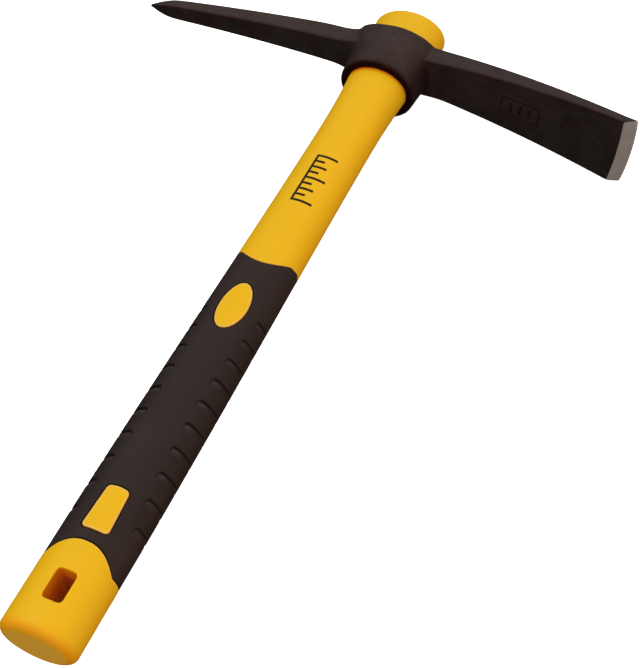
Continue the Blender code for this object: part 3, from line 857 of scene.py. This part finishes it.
# Painted shade by the scoops' walls, along the grip's two edges and on the flanks where the scoops
# lie, less on the scoops' floors, which get a painted highlight.
shade = np.maximum(np.maximum(near_wall, edge_shade), flank_shade * (1 - floor_highlight))
for label, values in (("groove", shade), ("painted_floor_light", floor_highlight)):
    tag_points(grip, label, np.concatenate([values.ravel(), np.zeros(under[..., 0].size)]))
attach(grip, "root")
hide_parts("rubber_grip")
print("scuffed points:", int((floor_highlight > 0.5).sum()))

# %% Lips round the windows
lip_grows = GRIP_GAP + np.array([0.0, 0.0, 0.01, 0.04, 0.10, 0.18, 0.30, 0.45, 1.0, 1.5, 1.7])
lip_depths = GRIP_INSET + np.array(
    [1.4, 0.45, 0.36, 0.27, 0.17, 0.09, 0.02, -0.015, -0.015, -0.015, 0.08]
)
lip_form = patches([1.0], lip_grows, lip_depths, capped=False)
window_lips = make_piece("window_lips", *lip_form, black_rubber, outwards=False)
# Painted shade in the gap round each window.
lip_shade = 1 - ease(lip_grows - GRIP_GAP, 0, LIP_SHADE)
tag_points(window_lips, "groove", np.tile(np.repeat(lip_shade, OUTLINE_STEPS), 4))
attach(window_lips, "root")
print("lips:", len(window_lips.data.polygons), "faces")

# %% [markdown]
# ## The rod's end
# The rod stays hidden apart from its end, which shows in the slot's far wall. It
# is a lathe profile: a radius at each distance, turned about the handle's axis.

# %% Fibreglass rod
ROD_RADIUS, ROD_SIDES = 6.1, 64
ROD_LOW, ROD_HIGH = SLOT_HIGH - 0.12, 372.0
rod_profile = np.array(
    [
        [ROD_LOW, 0.3],
        [ROD_LOW, 3.0],
        [ROD_LOW, 5.6],
        [SLOT_HIGH + 0.3, ROD_RADIUS],
        [100.0, ROD_RADIUS],
        [240.0, ROD_RADIUS],
        [ROD_HIGH - 0.6, ROD_RADIUS],
        [ROD_HIGH, ROD_RADIUS - 0.6],
        [ROD_HIGH, 0.3],
    ]
)
rod_turn = np.linspace(0, 2 * np.pi, ROD_SIDES, endpoint=False)
rod_y, rod_radius = rod_profile[:, :1], rod_profile[:, 1:]
rod_x, rod_z = rod_radius * np.cos(rod_turn), rod_radius * np.sin(rod_turn)
rod_points = np.stack(np.broadcast_arrays(rod_x, rod_y, rod_z), axis=-1)
end_discs = np.arange(len(rod_profile) * ROD_SIDES).reshape(-1, ROD_SIDES)[[0, -1]]
faces = [*grid_faces(len(rod_profile), ROD_SIDES), *end_discs]
rod = make_piece("fibreglass_rod", rod_points.reshape(-1, 3), faces, fibreglass)
rod.data.set_sharp_from_angle(angle=math.radians(35))
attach(rod, "root")
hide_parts("fibreglass_core")
print("rod:", len(rod.data.polygons), "faces")

# %% [markdown]
# ## The forged head
# A forging has no seams: the collar flows into both arms. That is what a
# subdivision surface does well. The cage is a ring of 28 columns whose profile
# runs up the outer wall, over the rim and down the eye. Two blocks of the wall
# are left out, and an arm grows from each hole as a loop of 18 points that is
# carried along its curve. Columns stand closer on both sides of each hole. The
# rim rises towards the arms like a saddle, most of all on the pick's side, where
# the wall also swells into a shoulder, and the lower edge slopes a little.

# %% Lines of the collar
COLLAR_LOW, COLLAR_HIGH = 325.2, 355.4
PICK_RISE, PICK_RISE_START, PICK_DIP, DIP_ANGLES = 5.0, 4.0, 1.4, (148, 170)
ADZE_RISE, ADZE_RISE_START = 2.8, 6.0
LOW_TILT = 0.05
WALL_LOW, WALL_HIGH = (19.8, 16.3), (22.0, 18.4)
RIM_HALF_WIDTH = 22.0


def collar_axes(y):
    """Half axes of the collar's outer wall, which widens upwards."""
    share = (y - COLLAR_LOW) / (COLLAR_HIGH - COLLAR_LOW)
    return tuple(between(low, high, share) for low, high in zip(WALL_LOW, WALL_HIGH))


def rim_height(angle):
    """Height of the rim: level over the broad faces, raised towards the arms."""
    x = RIM_HALF_WIDTH * np.cos(angle)
    to_pick = PICK_RISE * ease(-x, PICK_RISE_START, RIM_HALF_WIDTH)
    to_pick = to_pick - PICK_DIP * ease(np.degrees(np.abs(angle)), *DIP_ANGLES)
    to_adze = ADZE_RISE * ease(x, ADZE_RISE_START, RIM_HALF_WIDTH)
    return COLLAR_HIGH + to_pick + to_adze


def low_line(angle):
    """Height of the lower edge, which slopes a little towards the adze."""
    return COLLAR_LOW + 0.2 - RIM_HALF_WIDTH * LOW_TILT * np.cos(angle)


print("rim's highest place:", round(float(rim_height(np.radians(np.arange(181))).max()), 2), "mm")

# %% Rings of the collar
EYE_GAP, B_SPLINE_SWELL, SHOULDER_ANGLES = 0.3, 1.0115, (115, 144)

adze_columns, pick_columns = [0.0, 16.0, 30.0, 36.0], [144.0, 151.0, 165.0, 180.0]
half_columns = [*adze_columns, *np.linspace(36.0, 144.0, 9)[1:-1], *pick_columns]
wall_angles = np.radians([*half_columns, *(-np.array(half_columns[-2:0:-1]))])
COLLAR_COLUMNS = len(wall_angles)


def ring(y, axes, shrink=0.0, shoulder=0.0):
    """One ring of the cage; a swell makes up for what subdividing shrinks.

    A shoulder pushes the pick's side of the ring out by so many millimetres.
    """
    y = np.broadcast_to(y, wall_angles.shape)
    wide, thick = axes(np.minimum(y, COLLAR_HIGH))
    x = (wide - shrink) * B_SPLINE_SWELL * np.cos(wall_angles)
    x = x - shoulder * ease(np.degrees(np.abs(wall_angles)), *SHOULDER_ANGLES)
    z = (thick - shrink) * B_SPLINE_SWELL * np.sin(wall_angles)
    return np.stack([x, y, z], axis=-1)


def eye_axes(y):
    """Half axes of the eye: the handle's flare with a little room."""
    wide, thick = half_axes(y)
    return wide + EYE_GAP, thick + EYE_GAP


rim_line, edge_line = rim_height(wall_angles), low_line(wall_angles)
cage_rings = np.array(
    [
        ring(edge_line, collar_axes),
        ring(edge_line + 2.2, collar_axes),
        ring(COLLAR_LOW + 9.0, collar_axes),
        ring(344.2, collar_axes, 0.0, 0.8),
        ring(345.9, collar_axes, 0.0, 1.2),
        ring(rim_line - 1.3, collar_axes, 0.0, 2.2),
        ring(rim_line, collar_axes, 0.0, 2.4),
        ring(rim_line, collar_axes, 1.0, 2.4),
        ring(rim_line, eye_axes, -0.5),
        ring(rim_line, eye_axes),
        ring(rim_line - 0.7, eye_axes),
        ring(342.0, eye_axes),
        ring(edge_line + 0.7, eye_axes),
        ring(edge_line, eye_axes),
        ring(edge_line, eye_axes, -0.6),
        ring(edge_line, collar_axes, 1.8),
    ]
)
print("collar cage:", cage_rings.shape)

# %% [markdown]
# ## Sections of the arms
# The pick is a square bar that narrows evenly and ends in a four-sided point.
# The adze widens and thins along a curve, and its front is cut off by the bevel.
# In both, a loop's 18 control points stand close to the corners, because a
# subdivided corner is as round as its neighbours are far away. An arm's first
# loops spread towards the collar, and its axis drops as a power of the distance.

# %% One loop of an arm
CORNER, HUG = 1.2, 1.0


def wall_reach(z):
    """How far out the collar's wall lies at a height z, half way up the arms."""
    wide, thick = collar_axes(350.0)
    return wide * np.sqrt(1 - (z / thick) ** 2)


def arm_loop(x, centre, half_z, back, front, bow=0.0, corner_cut=0.0):
    """Eighteen points round an arm: a back row, a side, a front row, a side."""
    near = half_z - CORNER
    z = np.array([half_z, near, near / 2, 0, -near / 2, -near, -half_z])
    tight = min(CORNER, (back + front) * 0.3)
    rise = np.concatenate([np.full(7, back), [back - tight, tight - front], np.full(7, -front)])
    rise = np.concatenate([rise, [tight - front, back - tight]])
    across = np.concatenate([z, [-half_z, -half_z], z[::-1], [half_z, half_z]])
    inwards = bow * (across / half_z) ** 2 + corner_cut * (np.abs(across) >= half_z)
    out = x + np.copysign(1, x) * (bow - inwards)
    return np.stack([out, centre + rise, across], axis=-1)


print("wall reach at the middle:", round(float(wall_reach(0.0)), 2), "mm")

# %% Loops of the pick
PICK_REACH, PICK_SHOULDER, PICK_DROP = 134.7, 120.0, 11.7
PICK_START, PICK_CURVE = COLLAR_HIGH - 1.7, 1.9
PICK_WIDE, PICK_THICK = (8.25, 3.85), (8.05, 3.75)
PICK_ROOT, ROOT_SPREAD, BACK_ROOT, BACK_DIP = (31, 23), 1.6, (40, 24), 1.8
PICK_PLACES = [23.2, 26.0, 30.0, 38.0, 50.0, 64.0, 80.0, 96.0, 108.0, 115.0, 119.0]
PICK_PLACES += [123.0, 127.0, 131.0]
PICK_POINT = ((133.6, 0.85), (134.9, 0.4))


def pick_centre(distance):
    """How far along the handle the pick's axis lies."""
    return PICK_START - PICK_DROP * (distance / PICK_REACH) ** PICK_CURVE


pick_loops = []
for distance in PICK_PLACES:
    share = min(distance / PICK_SHOULDER, 1)
    beyond = max(distance - PICK_SHOULDER, 0) / (PICK_REACH - PICK_SHOULDER)
    left = 1 - beyond**1.6
    spread = ROOT_SPREAD * climb(distance, *PICK_ROOT) ** 2
    half_z = between(*PICK_WIDE, share) * left + 0.5 * beyond
    half_y = between(*PICK_THICK, share) * left + 0.5 * beyond
    back, front = half_y - BACK_DIP * ease(distance, *BACK_ROOT), half_y + 0.4 * spread
    pick_loops.append(arm_loop(-distance, pick_centre(distance), half_z + spread, back, front))
pick_loops[0][:, 0] = -wall_reach(pick_loops[0][:, 2]) - HUG - 1.4
for distance, half in PICK_POINT:
    pick_loops.append(arm_loop(-distance, pick_centre(distance), half, half, half))
print("pick loops:", len(pick_loops))

# %% Loops of the adze
ADZE_EDGE, ADZE_HEEL, ADZE_DROP = 127.1, 120.8, 22.4
ADZE_START, ADZE_CURVE, ADZE_FLARE = COLLAR_HIGH - 3.0, 1.75, 0.8
ADZE_WIDE, ADZE_THICK, ADZE_ROOT = (14.8, 37.1), (14.2, 5.3), (29, 23)
EDGE_BOW, BOW_LENGTH, END_CORNER, BEVEL_END = 1.3, 24.0, 0.5, 0.5
ADZE_PLACES = [23.2, 26.0, 30.0, 38.0, 50.0, 64.0, 78.0, 92.0, 105.0, 115.0, 119.3]
ADZE_PLACES += [ADZE_HEEL, ADZE_EDGE]


def adze_centre(distance):
    """How far along the handle the adze's middle lies."""
    return ADZE_START - ADZE_DROP * (distance / ADZE_EDGE) ** ADZE_CURVE


def adze_half_y(distance):
    """Half the adze's thickness, which falls evenly as far as the bevel's heel."""
    return between(*ADZE_THICK, np.minimum(distance / ADZE_HEEL, 1)) / 2


adze_loops = []
for distance in ADZE_PLACES:
    spread = climb(distance, *ADZE_ROOT) ** 2
    half_z = between(*ADZE_WIDE, (distance / ADZE_EDGE) ** ADZE_FLARE) / 2
    half_y = adze_half_y(distance)
    bow = EDGE_BOW * climb(distance, ADZE_EDGE - BOW_LENGTH, ADZE_EDGE)
    front = half_y + spread if distance <= ADZE_HEEL else BEVEL_END - half_y
    cut = END_CORNER if distance == ADZE_EDGE else 0.0
    size = (half_z + spread / 4, half_y, front)
    adze_loops.append(arm_loop(distance, adze_centre(distance), *size, bow, cut))
adze_loops[0][:, 0] = wall_reach(adze_loops[0][:, 2]) + HUG
print("adze loops:", len(adze_loops))

# %% Holes in the collar's wall
HOLE_TOP, HOLE_LOW, HOLE_HALF = 6, 3, 3


def hole_loop(middle, step):
    """Indices of the wall's points round the hole, ordered as an arm's loop."""
    wall = np.arange((HOLE_TOP + 1) * COLLAR_COLUMNS).reshape(-1, COLLAR_COLUMNS)
    columns = (middle + step * np.arange(HOLE_HALF, -HOLE_HALF - 1, -1)) % COLLAR_COLUMNS
    return border(wall[HOLE_TOP : HOLE_LOW - 1 : -1, columns]).tolist()


def left_out(middle, face):
    """Whether a face of the wall lies in a hole."""
    row, column = divmod(face, COLLAR_COLUMNS)
    offset = (column - middle + HOLE_HALF) % COLLAR_COLUMNS
    return HOLE_LOW <= row < HOLE_TOP and offset < 2 * HOLE_HALF


print("points round the adze's hole:", len(hole_loop(0, 1)))

# %% Join the cage
BEVEL_CREASE, CORNER_CREASE = 1.0, 0.8
LOOP, FRONT_ROW, FRONT_CORNERS = 18, range(9, 15), (9, 15)

ring_count = len(cage_rings)
closed = grid_faces(ring_count + 1, COLLAR_COLUMNS) % (ring_count * COLLAR_COLUMNS)
cage_faces = [
    face.tolist()
    for number, face in enumerate(closed)
    if not (left_out(0, number) or left_out(COLLAR_COLUMNS // 2, number))
]
cage_points = [cage_rings.reshape(-1, 3)]
material_of = [0] * len(cage_faces)
creases = {}
for loops, middle, step in ((pick_loops, COLLAR_COLUMNS // 2, -1), (adze_loops, 0, 1)):
    previous = hole_loop(middle, step)
    for number, loop in enumerate(loops):
        first = sum(len(p) for p in cage_points)
        current = list(range(first, first + LOOP))
        cage_points.append(loop)
        is_bevel = loops is adze_loops and number == len(loops) - 1
        for i in range(LOOP):
            j = (i + 1) % LOOP
            cage_faces.append([previous[i], previous[j], current[j], current[i]])
            material_of.append(1 if is_bevel and i in FRONT_ROW else 0)
        if is_bevel:
            for i in FRONT_ROW:
                creases[frozenset((previous[i], previous[i + 1]))] = BEVEL_CREASE
            for i in range(LOOP):
                creases[frozenset((current[i], current[(i + 1) % LOOP]))] = BEVEL_CREASE
            for i in FRONT_CORNERS:
                creases[frozenset((previous[i], current[i]))] = CORNER_CREASE
        previous = current
    cage_faces.append(previous)
    material_of.append(0)

head = make_piece("forged_head", np.concatenate(cage_points), cage_faces, powder_coat)
head.data.materials.append(bare_steel)
head.data.polygons.foreach_set("material_index", material_of)
edge_ends = np.zeros(2 * len(head.data.edges), int)
head.data.edges.foreach_get("vertices", edge_ends)
crease_values = [creases.get(frozenset(ends), 0.0) for ends in edge_ends.reshape(-1, 2).tolist()]
crease_layer = head.data.attributes.new("crease_edge", "FLOAT", "EDGE")
crease_layer.data.foreach_set("value", crease_values)
print("creased edges:", len(creases))

# %% Painted shade and rounding of the head
HEAD_SIDE_SHADE, SIDE_COSINES, HEAD_EDGE_SHADE, RIDGE_SHADE = 0.65, (0.55, 0.9), 0.45, 0.7
EYE_SHADE = np.array([0.5, 1.0, 1.0, 1.0, 1.0])
# Painted shade on the collar's lower flanks towards the arms, on its lower edge, on the eye's lower
# wall and bottom face round the handle, and along the arms' front ridges, where it also dulls the
# highlight.
shade_grid = np.zeros((ring_count, COLLAR_COLUMNS))
shade_grid[:4] = HEAD_SIDE_SHADE * ease(np.abs(np.cos(wall_angles)), *SIDE_COSINES)
shade_grid[0] = np.maximum(shade_grid[0], HEAD_EDGE_SHADE)
shade_grid[-len(EYE_SHADE) :] = EYE_SHADE[:, None]
arm_shade = np.zeros((len(pick_loops) + len(adze_loops), LOOP))
arm_shade[:, FRONT_CORNERS] = RIDGE_SHADE
tag_points(head, "coat_shade", np.concatenate([shade_grid.ravel(), arm_shade.ravel()]))
rounding = head.modifiers.new("forged roundness", "SUBSURF")
rounding.levels = 3
rounding.render_levels = 3
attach(head, "root")
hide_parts("head_forging")
print("head cage:", len(head.data.polygons), "faces")

# %% [markdown]
# ## Print and stamp
# A plain tick scale lies on the shaft, and a bare frame with three bars on the
# adze. Both are thin slabs that follow the surface below them.

# %% Slabs on a surface
def slab(box, surface, thickness, steps):
    """A thin plate over a rectangle (u0, u1, v0, v1) of a surface function.

    The bottom grid lies just under the surface and the top grid above it, drawn
    in by the thickness so that the sides slope.
    """
    u0, u1, v0, v1 = box
    grids = []
    for inset, lift in ((0.0, -0.05), (thickness, thickness)):
        u = np.linspace(u0 + inset, u1 - inset, steps[0])[:, None]
        v = np.linspace(v0 + inset, v1 - inset, steps[1])[None, :]
        grids.append(surface(*np.broadcast_arrays(u, v), lift).reshape(-1, 3))
    size = steps[0] * steps[1]
    flat = grid_faces(*steps, wrap_columns=False)
    loop = border(np.arange(size).reshape(steps))
    turned = np.roll(loop, -1)
    sides = np.stack([loop, turned, turned + size, loop + size], axis=1)
    return np.concatenate(grids), np.concatenate([flat[:, ::-1], flat + size, sides])


def plates(name, boxes, surface, thickness, steps, finish):
    """One piece made of several slabs."""
    points, faces = [], []
    for box in boxes:
        made, quads = slab(box, surface, thickness, steps)
        faces.append(quads + sum(len(p) for p in points))
        points.append(made)
    piece = make_piece(name, np.concatenate(points), np.concatenate(faces), finish)
    piece.data.set_sharp_from_angle(angle=math.radians(30))
    return piece


# %% Tick scale on the shaft
PRINT_LOW, PRINT_STEP, PRINT_COUNT = 222.0, 4.0, 9
SPINE, SPINE_WIDTH, TICK_WIDTH = -4.1, 1.2, 1.5
TICK_LENGTHS = (9.0, 4.2, 6.5, 4.2)


def shaft_surface(x, y, lift):
    """The broad face of the shaft, lifted along its normal."""
    return on_face(x, y, -lift, 1)


foot = SPINE + SPINE_WIDTH
ticks = [(SPINE, foot, PRINT_LOW, PRINT_LOW + PRINT_STEP * (PRINT_COUNT - 1) + TICK_WIDTH)]
for number in range(PRINT_COUNT):
    low = PRINT_LOW + PRINT_STEP * number
    ticks.append((foot, foot + TICK_LENGTHS[number % 4], low, low + TICK_WIDTH))
print_marks = plates("print_marks", ticks, shaft_surface, 0.03, (12, 8), dark_ink)
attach(print_marks, "root")
print("ticks:", PRINT_COUNT)

# %% Stamped frame on the adze
STAMP_X, STAMP_Z, STAMP_LINE = (60.0, 81.0), (-5.2, 5.2), 0.9
BAR_START, BAR_WIDTH, BAR_STEP, BAR_INSET = 4.6, 1.8, 5, 2.4
STAMP_DARKENING = 0.75


def adze_front(x, z, lift):
    """The adze's front face, lifted towards the butt."""
    return np.stack([x, adze_centre(x) - adze_half_y(x) - lift, z], axis=-1)


x0, x1 = STAMP_X
z0, z1 = STAMP_Z
bars = [
    (x0, x0 + STAMP_LINE, z0, z1),
    (x1 - STAMP_LINE, x1, z0, z1),
    (x0, x1, z0, z0 + STAMP_LINE),
    (x0, x1, z1 - STAMP_LINE, z1),
]
for low in x0 + BAR_START + BAR_STEP * np.arange(3):
    bars.append((low, low + BAR_WIDTH, z0 + BAR_INSET, z1 - BAR_INSET))
stamp = plates("stamped_frame", bars, adze_front, 0.1, (14, 8), powder_coat)
# The stamp's bars take the coat's darker, rougher mix.
tag_points(stamp, "coat_shade", np.full(len(stamp.data.vertices), STAMP_DARKENING))
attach(stamp, "root")
print("stamp bars:", len(bars))

# %% [markdown]
# ## Floor, light and camera
# The picture shows the tool on plain white, without a shadow. So the floor and a
# round backdrop glow evenly, are seen by the camera alone and neither light nor
# shade the tool. The light comes from a sky that is bright overhead, a wide panel
# above on the pick's side, a warm one beyond the butt and a warm one on the
# adze's side. The camera's place was solved from the tool's own outlines: it
# looks down at 49 degrees from beyond the butt.

# %% Floor and backdrop
STAGE_REACH, FLOOR_Z = 3.0, -0.0003
PALE, WHITE = (0.96, 0.96, 0.96, 1.0), (1.0, 1.0, 1.0, 1.0)
glow = {"Base_Color": PALE, "Emission_Color": WHITE, "Emission_Strength": 1.0}
pale_floor = new_finish("pale_floor", Roughness=0.9, **glow)[0]


def stage_piece(mesh):
    """A glowing piece of the stage that only the camera sees."""
    mesh.materials.append(pale_floor)
    piece = bpy.data.objects.new(mesh.name, mesh)
    bpy.context.scene.collection.objects.link(piece)
    piece.visible_diffuse = piece.visible_glossy = piece.visible_shadow = False
    return piece


floor_mesh = bpy.data.meshes.new("floor")
corners = [(-1, -1), (1, -1), (1, 1), (-1, 1)]
corners = [(STAGE_REACH * x, STAGE_REACH * y, FLOOR_Z) for x, y in corners]
floor_mesh.from_pydata(corners, [], [(0, 1, 2, 3)])
floor = stage_piece(floor_mesh)

dome_mesh = bpy.data.meshes.new("backdrop")
form = bmesh.new()
bmesh.ops.create_icosphere(form, subdivisions=3, radius=STAGE_REACH)
form.to_mesh(dome_mesh)
form.free()
dome = stage_piece(dome_mesh)
print("stage:", floor.name, "and", dome.name)

# %% Sky
world = bpy.data.worlds.new("studio")
bpy.context.scene.world = world
world.use_nodes = True
sky_tree = world.node_tree
background = sky_tree.nodes["Background"]
direction = Wire(sky_tree, sky_tree.nodes.new("ShaderNodeTexCoord").outputs["Generated"])
sideways, depthways, height = (
    direction.node("ShaderNodeSeparateXYZ", {"Vector": direction}, output=axis) for axis in "XYZ"
)
sky = height.node(
    "ShaderNodeValToRGB",
    {"Fac": height * 0.5 + 0.5},
    stops=[
        (0.0, (0.10, 0.075, 0.06)),
        (0.50, (0.11, 0.09, 0.08)),
        (0.60, (0.24, 0.23, 0.22)),
        (0.68, (0.62, 0.61, 0.60)),
        (0.80, (0.98, 0.98, 0.98)),
    ],
)
SKY_STRENGTH, AWAY_FROM_BUTT, TOWARDS_ADZE = 0.86, 0.2, 0.12
strength = depthways * AWAY_FROM_BUTT + sideways * TOWARDS_ADZE + SKY_STRENGTH
sky_tree.links.new(sky.socket, background.inputs["Color"])
sky_tree.links.new(strength.socket, background.inputs["Strength"])
print("sky nodes:", len(sky_tree.nodes))


# %% Soft panels
def panel(name, place, target, width, length, power, colour=(1.0, 1.0, 1.0)):
    """A soft light panel that faces a target."""
    light = bpy.data.lights.new(name, "AREA")
    light.shape = "RECTANGLE"
    light.size, light.size_y, light.energy, light.color = width, length, power, colour
    lamp = bpy.data.objects.new(name, light)
    bpy.context.scene.collection.objects.link(lamp)
    lamp.location = place
    lamp.rotation_euler = (Vector(target) - Vector(place)).to_track_quat("-Z", "Y").to_euler()
    print("panel:", name)


panel("key", (-0.75, -0.1, 1.15), (0, 0, 0), 0.9, 0.9, 6.0)
panel("front", (0.15, -1.5, 0.2), (0, -0.19, 0.02), 1.0, 0.3, 5.0, (1.0, 0.80, 0.68))
panel("side", (1.6, 0.1, 0.12), (0, 0, 0.02), 1.0, 0.2, 7.8, (1.0, 0.6, 0.4))

# %% Camera
FOCAL_PIXELS, IMAGE_HEIGHT = 1147.73, 668
SENSOR = 36.0
CAMERA_AT = np.array([132.95, -126.57, 353.71])
YAW, PITCH, ROLL = -0.32726, 0.85722, 0.07300

forward = np.array(
    [math.sin(YAW) * math.cos(PITCH), math.cos(YAW) * math.cos(PITCH), -math.sin(PITCH)]
)
level_right = np.array([math.cos(YAW), -math.sin(YAW), 0.0])
level_up = np.cross(level_right, forward)
right = math.cos(ROLL) * level_right + math.sin(ROLL) * level_up
up = -math.sin(ROLL) * level_right + math.cos(ROLL) * level_up
camera = bpy.data.objects.new("camera", bpy.data.cameras.new("camera"))
bpy.context.scene.collection.objects.link(camera)
camera.data.sensor_width = SENSOR
camera.data.lens = FOCAL_PIXELS * SENSOR / IMAGE_HEIGHT
camera.data.clip_start, camera.data.clip_end = 0.01, 20.0
pose = np.eye(4)
pose[:3, 0], pose[:3, 1], pose[:3, 2] = right, up, -forward
pose[:3, 3] = to_metres(CAMERA_AT)
camera.matrix_world = Matrix(pose.tolist())
bpy.context.scene.camera = camera
bpy.context.scene.view_settings.view_transform = "Standard"
print("lens:", round(camera.data.lens, 2), "mm")
